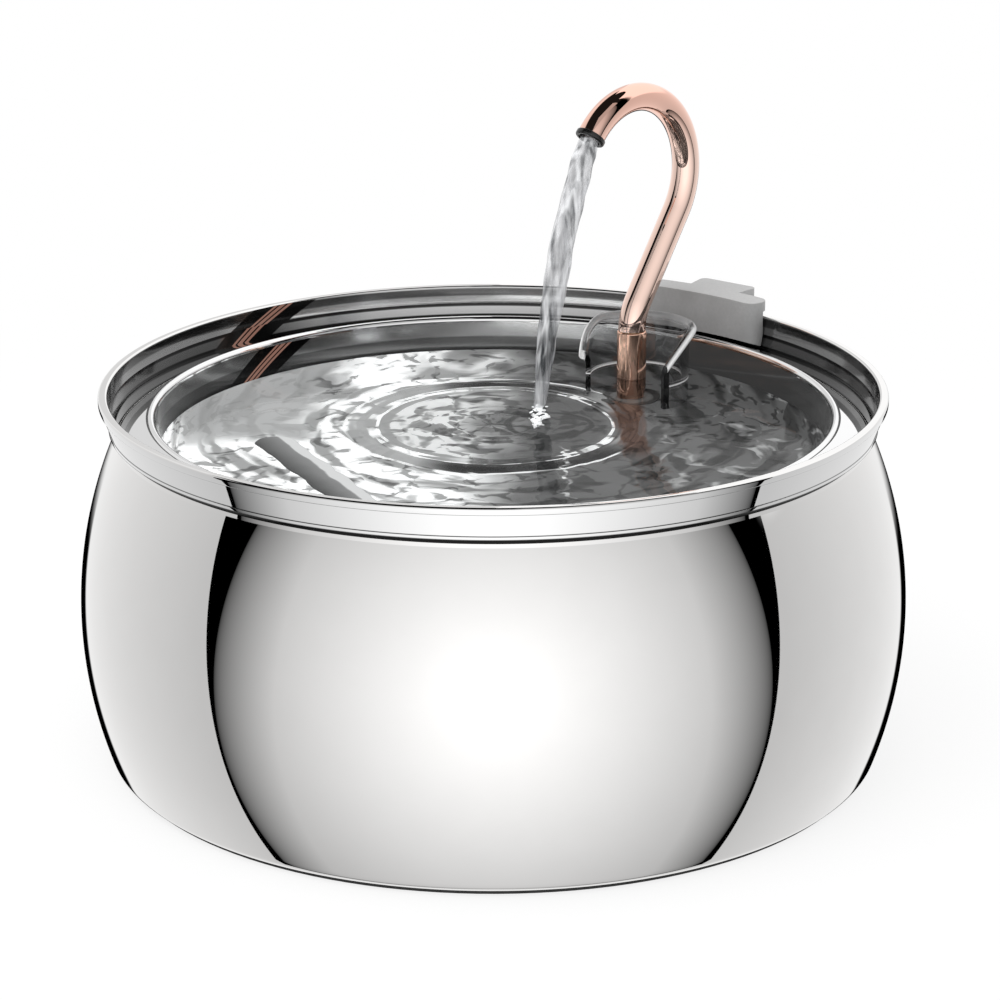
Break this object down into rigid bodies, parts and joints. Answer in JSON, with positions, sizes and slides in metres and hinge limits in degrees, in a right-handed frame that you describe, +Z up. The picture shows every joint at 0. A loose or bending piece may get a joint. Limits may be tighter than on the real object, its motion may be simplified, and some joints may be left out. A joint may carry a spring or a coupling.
{
  "type": "pet water fountain",
  "caption": "Barrel-shaped steel drinking bowl for pets with a lift-out tray, a swivelling copper gooseneck spout in a clear guard, a submersible pump and a filter cassette.",
  "frame": {"origin": "on the floor, on the bowl's axis", "axes": "+Z up along the bowl's axis; -Y is the front, seen with the spout at the back right"},
  "size_m": [0.2402, 0.2402, 0.1835],
  "materials": {
    "polished_steel": "mirror-polished stainless sheet",
    "copper_plating": "polished rose-copper plating on steel tube",
    "turned_brass": "turned brass, uncoated",
    "clear_plastic": "clear smoke-tinted moulding",
    "black_plastic": "black moulding",
    "grey_plastic": "fine satin moulding",
    "white_plastic": "white satin moulding",
    "dark_plastic": "dark grey satin moulding",
    "clear_silicone": "translucent silicone",
    "black_rubber": "black nitrile rubber",
    "core_steel": "stacked electrical steel",
    "enamelled_wire": "enamelled copper wire",
    "epoxy": "cast epoxy",
    "ceramic": "ground ceramic",
    "ferrite": "sintered ferrite",
    "foam": "open-cell foam",
    "filter_wool": "needled polyester wool",
    "carbon": "bed of carbon grains"
  },
  "bodies": {
    "base": {"outer_bowl": "polished_steel", "foot_ring": "black_rubber", "pump_housing": "white_plastic", "suction_cups": "clear_silicone", "stator_core": "core_steel", "stator_coil": "enamelled_wire", "potting": "epoxy", "cord_gland": "dark_plastic", "rear_bush": "black_rubber", "impeller_shaft": "ceramic", "outlet_coupler": "clear_silicone"},
    "tray": {"drinking_tray": "polished_steel", "tube_guard": "clear_plastic", "riser_grommet": "clear_silicone", "filter_rails": "white_plastic"},
    "riser": {"riser_tube": "copper_plating"},
    "spout": {"gooseneck": "copper_plating", "spout_ferrule": "turned_brass", "spout_orings": "black_rubber", "mouth_ring": "black_plastic"},
    "impeller": {"rotor_magnet": "ferrite", "impeller_wheel": "white_plastic"},
    "impeller_cover": {"impeller_cover": "white_plastic", "front_bush": "black_rubber"},
    "intake_cover": {"intake_cover": "white_plastic", "intake_foam": "foam"},
    "flow_slider": {"flow_slider": "dark_plastic"},
    "filter": {"filter_frame": "white_plastic", "filter_wool": "filter_wool", "filter_carbon": "carbon", "filter_lid": "white_plastic"},
    "cord_guide": {"cord_guide": "grey_plastic", "rim_pad": "black_rubber"}
  },
  "joints": [
    {"name": "tray_lift", "type": "slide", "parent": "base", "child": "tray", "axis": [0, 0, 1], "range_m": [0, 0.06]},
    {"name": "riser_pull", "type": "slide", "parent": "tray", "child": "riser", "axis": [0, 0, 1], "range_m": [0, 0.05]},
    {"name": "spout_swivel", "type": "hinge", "parent": "riser", "child": "spout", "pos_m": [0.04219, 0.06596, 0.1072], "axis": [0, 0, 1], "range_deg": [-75, 75]},
    {"name": "guide_lift", "type": "slide", "parent": "tray", "child": "cord_guide", "axis": [0, 0, 1], "range_m": [0, 0.02]},
    {"name": "filter_slide", "type": "slide", "parent": "tray", "child": "filter", "axis": [0.4258, -0.9048, 0], "range_m": [0, 0.05]},
    {"name": "impeller_spin", "type": "hinge", "parent": "base", "child": "impeller", "pos_m": [0.04219, 0.06596, 0.029], "axis": [0.5388, 0.8425, 0], "continuous": true},
    {"name": "impeller_cover_twist", "type": "hinge", "parent": "base", "child": "impeller_cover", "pos_m": [0.04219, 0.06596, 0.029], "axis": [0.5388, 0.8425, 0], "range_deg": [0, 25]},
    {"name": "cover_pull", "type": "slide", "parent": "base", "child": "intake_cover", "axis": [-0.5388, -0.8425, 0], "range_m": [0, 0.018]},
    {"name": "flow_slide", "type": "slide", "parent": "intake_cover", "child": "flow_slider", "axis": [-0.8425, 0.5388, 0], "range_m": [0, 0.008]}
  ]
}
